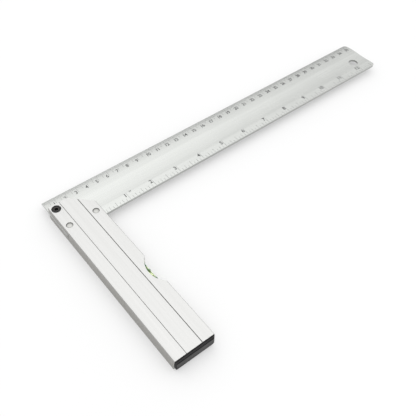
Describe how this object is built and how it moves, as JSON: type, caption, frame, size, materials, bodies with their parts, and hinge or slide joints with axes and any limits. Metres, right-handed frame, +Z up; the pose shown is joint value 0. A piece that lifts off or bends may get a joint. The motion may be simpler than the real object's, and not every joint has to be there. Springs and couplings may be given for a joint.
{
  "type": "try square",
  "caption": "Fixed try and mitre square: slotted hollow stock, bevelled graduated blade, eccentric squareness adjuster, levelling vial in a side notch and a moulded foot cap.",
  "frame": {"origin": "centre of the whole square's footprint, on the plane of the stock's back face", "axes": "+X along the blade from the stock's outer face to the blade's tip; +Y from the stock's foot towards the blade's outer edge; +Z up out of the graduated face"},
  "size_m": [0.3556, 0.1812, 0.0138],
  "materials": {
    "stock_aluminium": "clear anodised, satin",
    "blade_aluminium": "clear anodised, satin, drawn along its length",
    "rivet_aluminium": "bright, with a low crowned head",
    "black_steel": "black oxide",
    "plated_steel": "zinc plated",
    "cap_plastic": "moulded, semi-matt",
    "holder_plastic": "moulded",
    "clear_acrylic": "polished",
    "green_liquid": "clear, tinted",
    "bubble_air": "clear",
    "plug_plastic": "moulded",
    "printed_black": "printed: the vial's bands and the blade's scales"
  },
  "bodies": {
    "stock": {"stock": "stock_aluminium", "pivot_rivet": "rivet_aluminium", "clamp_rivet": "rivet_aluminium", "adjuster_nut": "plated_steel", "adjuster_washer": "plated_steel", "end_cap": "cap_plastic", "vial_holder": "holder_plastic", "vial_tube": "clear_acrylic", "vial_liquid": "green_liquid", "vial_plug_head": "plug_plastic", "vial_plug_foot": "plug_plastic", "vial_ring_head": "printed_black", "vial_ring_foot": "printed_black"},
    "blade": {"blade": "blade_aluminium"},
    "adjuster": {"adjuster_screw": "black_steel"},
    "bubble": {"vial_bubble": "bubble_air"}
  },
  "joints": [
    {"name": "blade_square", "type": "hinge", "parent": "stock", "child": "blade", "pos_m": [-0.1491, 0.0525, 0.0069], "axis": [0, 0, 1], "range_deg": [-0.5, 0.5]},
    {"name": "adjuster_turn", "type": "hinge", "parent": "stock", "child": "adjuster", "pos_m": [-0.173, 0.073, 0.0069], "axis": [0, 0, 1], "range_deg": [-50, 50]},
    {"name": "bubble_travel", "type": "slide", "parent": "stock", "child": "bubble", "axis": [0, 1, 0], "range_m": [-0.004, 0.004]}
  ],
  "couplings": [
    {"joint": "adjuster_turn", "follows": "blade_square", "ratio": 100}
  ]
}
